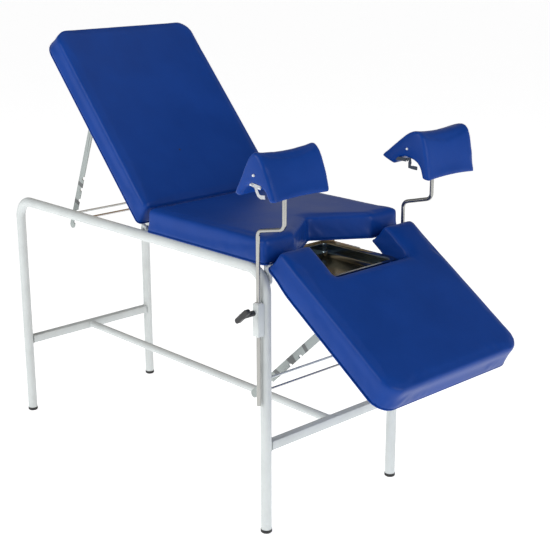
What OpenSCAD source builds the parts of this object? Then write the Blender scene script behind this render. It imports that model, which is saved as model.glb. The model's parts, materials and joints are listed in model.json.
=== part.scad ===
// Three-section gynaecological examination couch.
// +X points to the foot end, +Y to the far side, +Z up. The floor is Z = 0 and the origin is
// under the middle of the whole couch. All lengths are in millimetres.

/* [Frame] */
// Distance between the head legs and the foot legs, centre to centre
leg_span = 1250; // [1150:10:1350]
// Distance between the two side frames, centre to centre
frame_w = 540; // [500:10:600]
// Height of the side rails' centre line
rail_z = 787; // [775:1:788]
// Outer diameter of the side frames' tube
tube_d = 32; // [28:1:38]
// Centre-line radius of the frame's upper bends
bend_r = 65; // [55:5:90]
// Height of the low crossbars and the stretcher
crossbar_z = 270; // [200:5:340]
// Height of the flat-sided crossbar tube
crossbar_s = 27; // [25:1:35]
// Diameter of the stretcher tube
stretcher_d = 25; // [20:1:30]

/* [Upholstery] */
// Width of the three pads
pad_w = 550; // [520:10:600]
// Thickness of pad and base board together
pad_t = 67; // [60:1:76]
// Thickness of the plywood base boards
board_t = 15; // [12:1:18]
// Rounding of the pads' long edges
edge_r = 12; // [8:1:16]
// Head end of the seat, from the middle of the frame
seat_x0 = 100; // [95:1:110]
// Foot end of the seat, from the middle of the frame
seat_x1 = 628; // [620:1:632]
// Depth of the seat's V-shaped cut-out
seat_cut_d = 108; // [80:1:120]
// Width of the seat's cut-out at the foot edge
seat_cut_w = 316; // [280:2:330]
// Length of the backrest
back_len = 686; // [650:1:720]
// Length of the foot section
foot_len = 507; // [480:1:540]
// Depth of the foot section's cut-out
foot_cut_d = 118; // [90:1:130]
// Width of the foot section's cut-out
foot_cut_w = 300; // [260:2:310]

/* [Sections at rest] */
// Height of both hinge axes
hinge_z = 800; // [798:1:802]
// Backrest hinge, from the middle of the frame
back_hinge_x = 63; // [60:1:66]
// Foot hinge, from the middle of the frame
foot_hinge_x = 615.5; // [614:0.5:617]
// Rake of the backrest above the horizontal
back_rake = 48.2; // [45:0.1:50]
// Pitch of the foot section below the horizontal
foot_pitch = 35; // [30:1:40]

/* [Struts] */
// Width of the flat notched strut bars
strut_w = 24; // [22:1:26]
// Thickness of the strut bars
strut_t = 4; // [3:0.5:5]
// Length of the backrest struts from the pivot to the free end
back_strut_len = 385; // [370:1:400]
// Tilt of the backrest struts from the vertical
back_strut_tilt = 21.8; // [21:0.1:23]
// Length of the foot struts from the pivot to the free end
foot_strut_len = 436; // [420:1:450]
// Tilt of the foot struts from the vertical
foot_strut_tilt = 46.7; // [46:0.1:48]

/* [Tray] */
// Length of the tray
tray_len = 290; // [240:1:290]
// Width of the tray's basin
tray_w = 264; // [240:2:264]
// Depth of the tray
tray_h = 45; // [40:1:48]

/* [Leg rests] */
// Diameter of the cranked rods
rod_d = 12; // [10:1:14]
// Reach of the near crank along the couch
near_crank_x = 110; // [90:1:120]
// Reach of the far crank along the couch
far_crank_x = 99; // [90:1:120]
// Reach of the crank away from the couch
crank_y = 8; // [4:1:14]
// Rise of the crank
crank_z = 24; // [15:1:30]
// Height of the near leg rest's pivot
near_pivot_z = 1041; // [1010:1:1080]
// Height of the far leg rest's pivot
far_pivot_z = 1026; // [1010:1:1080]
// Tilt of the near leg rest
near_tilt = 1; // [0:1:14]
// Tilt of the far leg rest
far_tilt = 17; // [0:1:18]
// Length of a leg rest
rest_w = 220; // [190:2:230]

/* [Hidden] */
$fn = 48;
eps = 0.01;
tube_r = tube_d / 2;
leg_x = leg_span / 2;
rail_y = frame_w / 2;
inner_y = rail_y - tube_r;

// Crossbar tube: height from the settings above, width and wall from here
crossbar_t = crossbar_s - 1;
tube_wall = 2;

// Rubber feet
foot_cap_r = tube_r + 1;
foot_cap_h = 11;
foot_cap_floor = 6;
foot_cap_edge = 3;

// Plane heights of a section, measured from its hinge axis
under_b = 8;
top_b = under_b + pad_t;
back_a0 = 30.4;
foot_a0 = 18.4;
board_inset = 6;
corner_r = 16;
far_corner_r = 55;
seat_z0 = rail_z + tube_r;
seat_z1 = seat_z0 + pad_t;

// Hinges
pin_r = 5;
pin_head_r = 9;
pin_head_t = 3;
pin_over = 2;
run_gap = 0.05;
lug_t = 8;
lug_y = inner_y - lug_t + 1;
lug_r = 13;
arm_t = 4;
arm_y = lug_y - 3 - arm_t;
arm_r = 11;
arm_len = 160;
arm_flange = 28;
hinge_pocket_x = foot_hinge_x - lug_r - 2.5;
hinge_pocket_y = arm_y - 7;
hinge_pocket_h = 12;
arm_web = 9;
arm_screw_as = [60, 140];
arm_screw_y = arm_y + arm_t - arm_flange / 2 - 2;
sheet_t = 3;

// Strut pivots in section coordinates, and the rods that the struts stand on
strut_pin_r = 4;
notch_w = 9;
notch_d = 9;
back_strut_y = 235;
back_pivot = [399, -18.8];
foot_strut_y = 187;
foot_pivot = [229, -14];
ear_gap = 1;
ear_r = 10;
strut_base = [40, 28];
strut_pin_half = 8;
strut_pin_head_r = 7;
head_rod_r = 4;
foot_rod_r = 3.5;
head_rod_xs = [-316, -232];
foot_rod_zs = [474, 440];
rod_bite = 1.5;

// Seat fixings and cross tube
cross_tube_r = 12.5;
cross_tube_x = 112;
tab_xs = [150, 505];
tab_l = 36;
tab_w = 36;
tab_y = inner_y - 26;
tab_screw_y = inner_y - 14;
screw_r = 2.5;
screw_hole_r = 2.8;
screw_head_r = 5.5;
screw_head_h = 3;
screw_len = 12;

// Tray and runners
tray_x1 = 735;
tray_x0 = tray_x1 - tray_len;
tray_z = 766;
tray_sheet = 1.5;
tray_corner = 35;
tray_flange = 16;
runner_t = 2;
runner_x0 = 130;
runner_x1 = 575;
runner_web_x1 = 470;
runner_in = tray_w / 2 + 4;
runner_y = runner_in + 29;
runner_top_w = 20;
runner_gap = 0.3;

// Leg-rest clamps
sleeve_s = 22;
sleeve_y = rail_y + tube_r + sleeve_s / 2;
sleeve_z0 = 607;
sleeve_h = 94;
bush_r = 8;
bush_flange_r = 10.5;
bush_flange_h = 2.5;
knob_z = 677;
knob_gap = 2;
hub_r = 8;
hub_h = 46;
wing_r = 24;
lobe_r = 7.5;
wing_t = 12;
wing_turn = 42;
knob_grip = 12;
clamp_r = 4;
boss_r = 8;
boss_h = 5;
rod_r = rod_d / 2;
rod_len = 639;
rod_sides = 24;
bend_steps = 8;
crank_drop = 112;
rod_bend_r = 20;
eye_r = 10;
eye_w = 20;
bolt_r = 4;

// Leg-rest section: the outer curve has a round crown and nearly straight sides, the inner one
// a flat top and steep sides. Each curve is [half width, drop].
rest_out = [74, 122];
rest_out_w = 110;
crown_round = 0.12;
rest_in = [58, 42];
rest_in_w = 21.3;
arch_power = 3.5;
shell_t = 5;
shell_w0 = -14;
plate_w = 16;
plate_l = 60;
ear_y = 10.5;
rest_ear_r = 12;
rest_screw_y = 22;

// Position of the frame's middle, so that the origin is under the middle of the whole couch
foot_reach = foot_hinge_x + (foot_a0 + foot_len) * cos(foot_pitch)
           + (top_b - edge_r) * sin(foot_pitch);
frame_x = (leg_x + foot_cap_r - foot_reach) / 2;

// Colours
white_paint = [0.90, 0.92, 0.92];
vinyl_blue = [0.09, 0.22, 0.55];
plywood = [0.72, 0.56, 0.38];
steel = [0.74, 0.75, 0.76];
zinc = [0.80, 0.81, 0.83];
black = [0.06, 0.06, 0.07];

// ---- Placing ----

module in_frame() translate([frame_x, 0, 0]) children();
module both_sides() for (side = [0, 1]) mirror([0, side, 0]) children();
module on_back() in_frame() translate([back_hinge_x, 0, hinge_z]) rotate([0, back_rake, 0])
    mirror([1, 0, 0]) children();
module on_foot() in_frame() translate([foot_hinge_x, 0, hinge_z]) rotate([0, foot_pitch, 0])
    children();
// side is -1 for the near side and +1 for the far side
function crank_x(side) = side < 0 ? near_crank_x : far_crank_x;
module at_sleeve(side) in_frame() translate([leg_x, side * sleeve_y, 0]) children();
module at_pivot(side, z) at_sleeve(side) translate([crank_x(side), side * crank_y, z]) children();
module on_rest(side, z, tilt) at_pivot(side, z) rotate([0, tilt, 0]) children();
// A round bar along Y, from y0 to y1
module y_bar(r, y0, y1) translate([0, y0, 0]) rotate([-90, 0, 0]) cylinder(r = r, h = y1 - y0);
// A flat plate with its outline drawn in X and Z, from y0 to y0 + t
module y_plate(y0, t) translate([0, y0 + t, 0]) rotate([90, 0, 0]) linear_extrude(t) children();
// A flat plate outline with round ends, from one centre to another
module link_outline(p, q, r) {
    v = q - p;
    translate(p) circle(r);
    translate(q) circle(r);
    translate(p) rotate(atan2(v[1], v[0])) translate([0, -r]) square([norm(v), 2 * r]);
}

// ---- Frame ----

module quarter_bend() rotate([90, 0, 0]) rotate_extrude(angle = 90) translate([bend_r, 0]) circle(tube_r);

module side_frame(side) in_frame() translate([0, side * rail_y, 0]) {
    for (end = [0, 1]) mirror([end, 0, 0]) {
        translate([leg_x, 0, foot_cap_floor]) cylinder(r = tube_r, h = rail_z - bend_r - foot_cap_floor);
        translate([leg_x - bend_r, 0, rail_z - bend_r]) quarter_bend();
    }
    translate([bend_r - leg_x, 0, rail_z]) rotate([0, 90, 0])
        cylinder(r = tube_r, h = leg_span - 2 * bend_r);
}
module side_frame_near() color(white_paint) side_frame(-1);
module side_frame_far() color(white_paint) side_frame(1);

module crossbar(x) in_frame() translate([x, 0, crossbar_z]) difference() {
    cube([crossbar_t, 2 * inner_y + 2 * rod_bite, crossbar_s], center = true);
    cube([crossbar_t - 2 * tube_wall, 2 * inner_y + 4 * rod_bite, crossbar_s - 2 * tube_wall],
         center = true);
}
module head_crossbar() color(white_paint) crossbar(-leg_x);
module foot_crossbar() color(white_paint) crossbar(leg_x);

module centre_stretcher() color(white_paint) in_frame()
    translate([-leg_x + crossbar_t / 2, 0, crossbar_z]) rotate([0, 90, 0]) difference() {
        cylinder(d = stretcher_d, h = leg_span - crossbar_t);
        translate([0, 0, -1]) cylinder(d = stretcher_d - 2 * tube_wall, h = leg_span);
    }

module cross_rod(x, z, r) in_frame() translate([x, 0, z])
    y_bar(r, -inner_y - rod_bite, inner_y + rod_bite);
module seat_cross_tube() color(white_paint) cross_rod(cross_tube_x, rail_z, cross_tube_r);
module head_support_rod() color(white_paint) cross_rod(head_rod_xs[0], rail_z, head_rod_r);
module head_stop_rod() color(steel) cross_rod(head_rod_xs[1], rail_z, head_rod_r);
module foot_support_rod() color(white_paint) cross_rod(leg_x, foot_rod_zs[0], foot_rod_r);
module foot_stop_rod() color(steel) cross_rod(leg_x, foot_rod_zs[1], foot_rod_r);

module rubber_feet() color(black) in_frame()
    for (x = [-leg_x, leg_x], y = [-rail_y, rail_y]) translate([x, y, 0]) difference() {
        union() {
            cylinder(r1 = foot_cap_r - foot_cap_edge, r2 = foot_cap_r, h = foot_cap_edge);
            translate([0, 0, foot_cap_edge]) cylinder(r = foot_cap_r, h = foot_cap_h - foot_cap_edge);
        }
        translate([0, 0, foot_cap_floor]) cylinder(r = tube_r, h = foot_cap_h);
    }

// ---- Hinges between the frame and the two moving sections ----

module hinge_lug(x, foot) in_frame() both_sides() difference() {
    y_plate(lug_y, lug_t) link_outline([x, hinge_z], foot, lug_r);
    translate([x, 0, hinge_z]) y_bar(pin_r, lug_y - 1, inner_y + 2);
}
module hinge_pin(x) in_frame() both_sides() translate([x, 0, hinge_z]) {
    y_bar(pin_r, arm_y - pin_over, inner_y + 1);
    y_bar(pin_head_r, arm_y - pin_over - pin_head_t, arm_y - pin_over);
}
module back_hinge_lugs() color(white_paint) hinge_lug(back_hinge_x, [back_hinge_x, rail_z - 4]);
module back_hinge_pins() color(zinc) hinge_pin(back_hinge_x);
module foot_hinge_lugs() color(white_paint) hinge_lug(foot_hinge_x, [foot_hinge_x, rail_z - bend_r / 2]);
module foot_hinge_pins() color(zinc) hinge_pin(foot_hinge_x);

// An arm of angle steel that carries a section: an eye, a web and a flange under the board
module arm(a_start) both_sides() {
    difference() {
        union() {
            y_plate(arm_y, arm_t) circle(arm_r);
            y_plate(arm_y, arm_t) translate([0, -arm_web]) square([arm_len, arm_web + 1]);
            y_plate(arm_y, arm_t) translate([a_start, 0]) square([arm_len - a_start, under_b]);
            translate([a_start, arm_y + arm_t - arm_flange, under_b - sheet_t])
                cube([arm_len - a_start, arm_flange, sheet_t]);
        }
        y_bar(pin_r + run_gap, arm_y - 1, arm_y + arm_t + 1);
        for (a = arm_screw_as) translate([a, arm_screw_y, under_b - sheet_t - 1])
            cylinder(r = screw_hole_r, h = sheet_t + 2);
    }
}
module arm_screws() both_sides() for (a = arm_screw_as) translate([a, arm_screw_y, 0])
    board_screw(under_b - sheet_t);
// A pan-head screw whose head lies under height z and whose shank goes up into the board
module board_screw(z, len = screw_len) {
    translate([0, 0, z - screw_head_h]) cylinder(r = screw_head_r, h = screw_head_h);
    translate([0, 0, z - 1]) cylinder(r = screw_r, h = len + 1);
}

// Two ears and a base plate that hold a strut's pivot under a section
module strut_bracket(pivot, y) both_sides() difference() {
    union() {
        for (y0 = [y - strut_t / 2 - ear_gap - sheet_t, y + strut_t / 2 + ear_gap])
            y_plate(y0, sheet_t) link_outline(pivot, [pivot[0], under_b - ear_r], ear_r);
        translate([pivot[0] - strut_base[0] / 2, y - strut_base[1] / 2, under_b - sheet_t])
            cube([strut_base[0], strut_base[1], sheet_t]);
    }
    translate([pivot[0], 0, pivot[1]]) y_bar(strut_pin_r, y - 20, y + 20);
}
module strut_pin(pivot, y) both_sides() translate([pivot[0], 0, pivot[1]]) {
    y_bar(strut_pin_r, y - strut_pin_half, y + strut_pin_half);
    for (y0 = [y - strut_pin_half - pin_head_t + 1, y + strut_pin_half - 1])
        y_bar(strut_pin_head_r, y0, y0 + pin_head_t);
}
// A flat bar that hangs from its pivot, with slanted notches along the edge that meets the rod
module strut(len, y, notches) both_sides() difference() {
    y_plate(y - strut_t / 2, strut_t) difference() {
        link_outline([0, 0], [0, strut_w / 2 - len], strut_w / 2);
        for (d = notches) translate([strut_w / 2, -d]) rotate(-125) notch();
    }
    y_bar(strut_pin_r + run_gap, y - strut_t, y + strut_t);
}
module notch() {
    translate([-2, -notch_w / 2]) square([notch_d, notch_w]);
    translate([notch_d - 2, 0]) circle(d = notch_w);
}

// ---- Upholstery ----

// A block in section coordinates with round corners in plan and bevelled upper edges.
// r0 and r1 are the corner radii at its low and high end.
module cushion(a0, a1, b0, b1, r0, r1) hull() for (s = [-1, 1], level = [0, 1]) {
    cut = level * edge_r;
    translate([a0 + r0, s * (pad_w / 2 - r0), b0])
        cylinder(r = r0 - cut * 0.9, h = b1 - b0 - (1 - level) * edge_r, $fn = 32);
    translate([a1 - r1, s * (pad_w / 2 - r1), b0])
        cylinder(r = r1 - cut * 0.9, h = b1 - b0 - (1 - level) * edge_r, $fn = 32);
}
module board(a0, a1, b0, r0, r1) translate([0, 0, b0]) linear_extrude(board_t) {
    half = pad_w / 2 - board_inset;
    for (s = [-1, 1]) {
        translate([a0 + r0, s * (half - r0)]) circle(r0);
        translate([a1 - r1, s * (half - r1)]) circle(r1);
    }
    translate([a0 + r0, -half]) square([a1 - r1 - a0 - r0, 2 * half]);
    translate([a0, r0 - half]) square([r0 + eps, 2 * (half - r0)]);
    translate([a1 - r1 - eps, r1 - half]) square([r1 + eps, 2 * (half - r1)]);
}
module seat_notch(grow) translate([seat_x1, 0, 0]) linear_extrude(2000, center = true) polygon([
    [-seat_cut_d - grow, 0], [1, -seat_cut_w / 2 - grow], [60, -seat_cut_w / 2 - grow],
    [60, seat_cut_w / 2 + grow], [1, seat_cut_w / 2 + grow]]);
module foot_notch(grow) translate([foot_a0 - 20, 0, 0]) linear_extrude(400, center = true) {
    half = foot_cut_w / 2 + grow;
    depth = foot_cut_d + grow + 20;
    r = 20;
    translate([0, -half]) square([depth - r, 2 * half]);
    translate([0, r - half]) square([depth, 2 * (half - r)]);
    for (s = [-1, 1]) translate([depth - r, s * (half - r)]) circle(r);
}

module seat_board() color(plywood) in_frame() difference() {
    board(seat_x0 + board_inset, seat_x1 - board_inset, seat_z0, corner_r, corner_r);
    seat_notch(board_inset);
    // Pockets over the foot hinges
    both_sides() translate([hinge_pocket_x, hinge_pocket_y, seat_z0 - 1])
        cube([seat_x1 - hinge_pocket_x, pad_w / 2 - hinge_pocket_y, hinge_pocket_h + 1]);
}
module seat_pad() color(vinyl_blue) in_frame() difference() {
    cushion(seat_x0, seat_x1, seat_z0 + board_t, seat_z1, corner_r, corner_r);
    seat_notch(0);
}
module back_board() color(plywood) on_back()
    board(back_a0 + board_inset, back_a0 + back_len - board_inset, under_b, corner_r, far_corner_r);
module back_pad() color(vinyl_blue) on_back()
    cushion(back_a0, back_a0 + back_len, under_b + board_t, top_b, corner_r, far_corner_r);
module foot_board() color(plywood) on_foot() difference() {
    board(foot_a0 + board_inset, foot_a0 + foot_len - board_inset, under_b, corner_r, far_corner_r);
    foot_notch(board_inset);
}
module foot_pad() color(vinyl_blue) on_foot() difference() {
    cushion(foot_a0, foot_a0 + foot_len, under_b + board_t, top_b, corner_r, far_corner_r);
    foot_notch(0);
}

module seat_tabs() color(white_paint) in_frame() both_sides() for (x = tab_xs) difference() {
    translate([x - tab_l / 2, tab_y, seat_z0 - sheet_t]) cube([tab_l, tab_w, sheet_t]);
    translate([x, tab_screw_y, seat_z0 - sheet_t - 1]) cylinder(r = screw_hole_r, h = sheet_t + 2);
}
module seat_screws() color(zinc) in_frame() both_sides() for (x = tab_xs)
    translate([x, tab_screw_y, 0]) board_screw(seat_z0 - sheet_t);

// ---- Moving sections' metalwork ----

module back_arms() color(zinc) on_back() arm(back_a0 + board_inset);
module back_arm_screws() color(zinc) on_back() arm_screws();
module back_strut_brackets() color(zinc) on_back() strut_bracket(back_pivot, back_strut_y);
module back_strut_pins() color(zinc) on_back() strut_pin(back_pivot, back_strut_y);
module foot_arms() color(zinc) on_foot() arm(foot_a0 + board_inset);
module foot_arm_screws() color(zinc) on_foot() arm_screws();
module foot_strut_brackets() color(zinc) on_foot() strut_bracket(foot_pivot, foot_strut_y);
module foot_strut_pins() color(zinc) on_foot() strut_pin(foot_pivot, foot_strut_y);

// The struts stand at their own tilt, so each undoes its section's turn at the pivot
module back_struts() color(white_paint) on_back() translate([back_pivot[0], 0, back_pivot[1]])
    mirror([1, 0, 0]) rotate([0, back_strut_tilt - back_rake, 0])
    strut(back_strut_len, back_strut_y, [for (k = [0:4]) 185 + 42 * k]);
module foot_struts() color(white_paint) on_foot() translate([foot_pivot[0], 0, foot_pivot[1]])
    rotate([0, foot_strut_tilt - foot_pitch, 0])
    strut(foot_strut_len, foot_strut_y, [for (k = [0:4]) 165 + 54 * k]);

// ---- Tray ----

module tray_outline(grow) {
    r = tray_corner + grow;
    w = tray_w + 2 * grow;
    translate([tray_x0 + tray_flange - grow, -w / 2]) {
        l = tray_len - 2 * tray_flange + 2 * grow;
        translate([r, 0]) square([l - 2 * r, w]);
        translate([0, r]) square([l, w - 2 * r]);
        for (x = [r, l - r], y = [r, w - r]) translate([x, y]) circle(r);
    }
}
module tray() color(steel) in_frame() translate([0, 0, tray_z - tray_h]) {
    difference() {
        linear_extrude(tray_h) tray_outline(0);
        translate([0, 0, tray_sheet]) linear_extrude(tray_h) tray_outline(-tray_sheet);
    }
    translate([0, 0, tray_h - tray_sheet]) linear_extrude(tray_sheet) difference() {
        tray_outline(tray_flange);
        tray_outline(-eps);
    }
}
// Two folded steel runners: a flange under the seat board, a web and a longer ledge for the rim
module tray_runners() color(steel) in_frame() both_sides() {
    ledge_z = tray_z - tray_sheet - runner_t - runner_gap;
    translate([runner_x0, runner_in, ledge_z])
        cube([runner_x1 - runner_x0, runner_y - runner_in, runner_t]);
    translate([runner_x0, runner_y - runner_t, ledge_z])
        cube([runner_web_x1 - runner_x0, runner_t, seat_z0 - ledge_z]);
    translate([runner_x0, runner_y - runner_t, seat_z0 - runner_t])
        cube([runner_web_x1 - runner_x0, runner_top_w, runner_t]);
}

// ---- Leg-rest clamps and rods ----

module rod_sleeve(side) at_sleeve(side) difference() {
    union() {
        translate([-sleeve_s / 2, -sleeve_s / 2, sleeve_z0]) cube([sleeve_s, sleeve_s, sleeve_h]);
        translate([0, 0, knob_z]) rotate([-90 * side, 0, 0])
            cylinder(r = boss_r, h = sleeve_s / 2 + boss_h);
    }
    translate([0, 0, sleeve_z0 - 1]) cylinder(r = bush_r + run_gap, h = sleeve_h + 2);
    translate([0, 0, knob_z]) rotate([-90 * side, 0, 0]) cylinder(r = clamp_r + run_gap, h = sleeve_s);
}
module guide_bush(side) at_sleeve(side) difference() {
    union() {
        translate([0, 0, sleeve_z0]) cylinder(r = bush_r, h = sleeve_h);
        translate([0, 0, sleeve_z0 + sleeve_h + run_gap]) cylinder(r = bush_flange_r, h = bush_flange_h);
        translate([0, 0, sleeve_z0 + sleeve_h - eps]) cylinder(r = bush_r, h = 2 * run_gap);
    }
    translate([0, 0, sleeve_z0 - 1]) cylinder(r = rod_r + run_gap, h = sleeve_h + bush_flange_h + 3);
}
module clamp_screw(side) at_sleeve(side) translate([0, 0, knob_z]) rotate([-90 * side, 0, 0])
    translate([0, 0, bush_r + 0.3])
        cylinder(r = clamp_r, h = sleeve_s / 2 + boss_h + knob_gap + knob_grip - bush_r);
// A long hub with two wings at its outer end
module clamp_knob(side) at_sleeve(side) translate([0, 0, knob_z]) rotate([-90 * side, 0, 0])
    translate([0, 0, sleeve_s / 2 + boss_h + knob_gap]) rotate(-side * wing_turn) difference() {
        union() {
            cylinder(r = hub_r, h = hub_h);
            translate([0, 0, hub_h - wing_t]) linear_extrude(wing_t)
                link_outline([-wing_r, 0], [wing_r, 0], lobe_r);
        }
        translate([0, 0, -1]) cylinder(r = clamp_r, h = knob_grip + 1.3);
    }

// The rod lies in one plane: a long leg in the sleeve, a rising crank and a short leg under the
// rest. Each station of its path is [reach, height, turn from the vertical].
function rod_path(reach, bottom, high, top) = let (turn = 90 - atan2(crank_z, reach),
        back = rod_bend_r * tan(turn / 2), low = high - crank_z) concat([[0, bottom, 0]],
    [for (k = [0:bend_steps]) let (t = turn * k / bend_steps)
        [rod_bend_r * (1 - cos(t)), low - back + rod_bend_r * sin(t), t]],
    [for (k = [bend_steps:-1:0]) let (t = turn * k / bend_steps)
        [reach - rod_bend_r * (1 - cos(t)), high + back - rod_bend_r * sin(t), t]],
    [[reach, top, 0]]);
module cranked_rod(side, pivot_z) at_sleeve(side) rotate([0, 0, side * atan2(crank_y, crank_x(side))]) {
    path = rod_path(norm([crank_x(side), crank_y]), pivot_z - rod_len, pivot_z - crank_drop,
                    pivot_z - eye_r + 1);
    last = len(path) - 1;
    polyhedron(
        points = [for (p = path, k = [0:rod_sides - 1]) let (a = 360 * k / rod_sides)
            [p[0] + rod_r * cos(a) * cos(p[2]), rod_r * sin(a), p[1] - rod_r * cos(a) * sin(p[2])]],
        faces = concat([[for (k = [0:rod_sides - 1]) k]],
            [for (i = [0:last - 1], k = [0:rod_sides - 1]) let (n = (k + 1) % rod_sides)
                [i * rod_sides + k, (i + 1) * rod_sides + k, (i + 1) * rod_sides + n, i * rod_sides + n]],
            [[for (k = [rod_sides - 1:-1:0]) last * rod_sides + k]]));
}
module rod_eye(side, z) at_pivot(side, z) difference() {
    y_bar(eye_r, -eye_w / 2, eye_w / 2);
    y_bar(bolt_r + run_gap, -eye_w, eye_w);
}

// ---- Leg rests ----

// Points along the outer and the inner curve of a rest's section
function crown(c, top, steps = 20) = [for (k = [-steps:steps]) let (t = k / steps, r = crown_round)
    [c[0] * t, top - c[1] * (sqrt(t * t + r) - sqrt(r)) / (sqrt(1 + r) - sqrt(r))]];
function arch(c, top, steps = 16) = [for (k = [steps:-1:-steps]) let (t = k / steps)
    [c[0] * t, top - c[1] * pow(abs(t), arch_power)]];

module rest_pad(side, z, tilt) on_rest(side, z, tilt) y_plate(-rest_w / 2, rest_w)
    polygon(concat(crown(rest_out, rest_out_w), arch(rest_in, rest_in_w)));
module rest_shell(side, z, tilt) on_rest(side, z, tilt) y_plate(8 - rest_w / 2, rest_w - 16)
    difference() {
        polygon(arch(rest_in, rest_in_w));
        polygon(arch(rest_in - [shell_t, 0], rest_in_w - shell_t));
        translate([-rest_w / 2, shell_w0 - rest_w]) square(rest_w);
    }
module rest_bracket(side, z, tilt) on_rest(side, z, tilt) difference() {
    union() {
        for (y0 = [-ear_y - sheet_t, ear_y]) y_plate(y0, sheet_t)
            link_outline([0, 0], [0, plate_w - rest_ear_r], rest_ear_r);
        translate([-rest_ear_r, -plate_l / 2, plate_w - sheet_t])
            cube([2 * rest_ear_r, plate_l, sheet_t]);
    }
    y_bar(bolt_r, -eye_w, eye_w);
    y_bar(plate_w - sheet_t, -ear_y, ear_y);
    for (y = [-rest_screw_y, rest_screw_y]) translate([0, y, 0])
        cylinder(r = screw_hole_r, h = plate_w + 1);
}
module rest_bolt(side, z, tilt) on_rest(side, z, tilt) {
    y_bar(bolt_r, -eye_w, eye_w);
    y_bar(6.5, -eye_w - 3, -eye_w + 3);
    y_bar(7, eye_w - 3, eye_w + 2, $fn = 6);
}
module rest_screws(side, z, tilt) on_rest(side, z, tilt) for (y = [-rest_screw_y, rest_screw_y])
    translate([0, y, 0]) board_screw(plate_w - sheet_t, 21);

module rod_sleeve_near() color(white_paint) rod_sleeve(-1);
module guide_bush_near() color(white_paint) guide_bush(-1);
module cranked_rod_near() color(steel) cranked_rod(-1, near_pivot_z);
module rod_eye_near() color(steel) rod_eye(-1, near_pivot_z);
module clamp_knob_near() color(black) clamp_knob(-1);
module clamp_screw_near() color(zinc) clamp_screw(-1);
module rest_bracket_near() color(zinc) rest_bracket(-1, near_pivot_z, near_tilt);
module rest_bolt_near() color(zinc) rest_bolt(-1, near_pivot_z, near_tilt);
module rest_shell_near() color(black) rest_shell(-1, near_pivot_z, near_tilt);
module rest_pad_near() color(vinyl_blue) rest_pad(-1, near_pivot_z, near_tilt);
module rest_screws_near() color(zinc) rest_screws(-1, near_pivot_z, near_tilt);
module rod_sleeve_far() color(white_paint) rod_sleeve(1);
module guide_bush_far() color(white_paint) guide_bush(1);
module cranked_rod_far() color(steel) cranked_rod(1, far_pivot_z);
module rod_eye_far() color(steel) rod_eye(1, far_pivot_z);
module clamp_knob_far() color(black) clamp_knob(1);
module clamp_screw_far() color(zinc) clamp_screw(1);
module rest_bracket_far() color(zinc) rest_bracket(1, far_pivot_z, far_tilt);
module rest_bolt_far() color(zinc) rest_bolt(1, far_pivot_z, far_tilt);
module rest_shell_far() color(black) rest_shell(1, far_pivot_z, far_tilt);
module rest_pad_far() color(vinyl_blue) rest_pad(1, far_pivot_z, far_tilt);
module rest_screws_far() color(zinc) rest_screws(1, far_pivot_z, far_tilt);

side_frame_near();
side_frame_far();
head_crossbar();
foot_crossbar();
centre_stretcher();
seat_cross_tube();
head_support_rod();
head_stop_rod();
foot_support_rod();
foot_stop_rod();
rubber_feet();
back_hinge_lugs();
back_hinge_pins();
foot_hinge_lugs();
foot_hinge_pins();
seat_tabs();
seat_screws();
seat_board();
seat_pad();
tray_runners();
rod_sleeve_near();
rod_sleeve_far();
back_arms();
back_arm_screws();
back_board();
back_pad();
back_strut_brackets();
back_strut_pins();
back_struts();
foot_arms();
foot_arm_screws();
foot_board();
foot_pad();
foot_strut_brackets();
foot_strut_pins();
foot_struts();
tray();
guide_bush_near();
cranked_rod_near();
rod_eye_near();
clamp_knob_near();
clamp_screw_near();
rest_bracket_near();
rest_bolt_near();
rest_shell_near();
rest_pad_near();
rest_screws_near();
guide_bush_far();
cranked_rod_far();
rod_eye_far();
clamp_knob_far();
clamp_screw_far();
rest_bracket_far();
rest_bolt_far();
rest_shell_far();
rest_pad_far();
rest_screws_far();
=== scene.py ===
"""Looks of the three-section examination couch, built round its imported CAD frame.

Shapes are written in millimetres and turned into metres when a mesh is made. A section (seat,
backrest or foot section) has its own coordinates: a runs along it from its hinge, y across it
and b up from its hinge plane.
"""

import json
import math
import random

import bmesh
import bpy
import numpy as np
from mathutils import Matrix, Vector


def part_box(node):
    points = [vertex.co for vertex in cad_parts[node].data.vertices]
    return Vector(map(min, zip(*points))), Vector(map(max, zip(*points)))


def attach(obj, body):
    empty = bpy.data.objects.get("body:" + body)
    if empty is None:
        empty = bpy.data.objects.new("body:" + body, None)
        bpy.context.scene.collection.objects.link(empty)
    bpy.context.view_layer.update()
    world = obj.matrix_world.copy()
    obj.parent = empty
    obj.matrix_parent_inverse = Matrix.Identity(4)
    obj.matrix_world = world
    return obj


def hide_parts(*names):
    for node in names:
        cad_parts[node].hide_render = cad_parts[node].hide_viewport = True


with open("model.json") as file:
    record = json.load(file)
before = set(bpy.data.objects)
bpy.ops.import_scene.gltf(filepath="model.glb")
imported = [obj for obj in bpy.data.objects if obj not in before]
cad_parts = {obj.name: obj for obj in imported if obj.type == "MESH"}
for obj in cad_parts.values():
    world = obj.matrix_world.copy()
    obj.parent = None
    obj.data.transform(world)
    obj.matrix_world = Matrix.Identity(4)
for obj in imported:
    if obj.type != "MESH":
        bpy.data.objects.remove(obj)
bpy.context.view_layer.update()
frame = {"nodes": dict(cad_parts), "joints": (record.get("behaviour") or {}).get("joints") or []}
scene = bpy.context.scene
NODES = frame["nodes"]
JOINTS = {j["name"]: j for j in frame["joints"]}
MM = 0.001
SIDES = {"near": -1, "far": 1}


def mid(node):
    lo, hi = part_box(node)
    return (lo + hi) / 2 / MM


def joint_at(name):
    return Vector(JOINTS[name]["pos_m"]) / MM


def down_strut(lean):
    """The way down a strut whose lower end leans towards the head end."""
    return Vector((-math.sin(lean), 0, -math.cos(lean)))


# ---- Sizes shared with the CAD source, in millimetres ----

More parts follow.
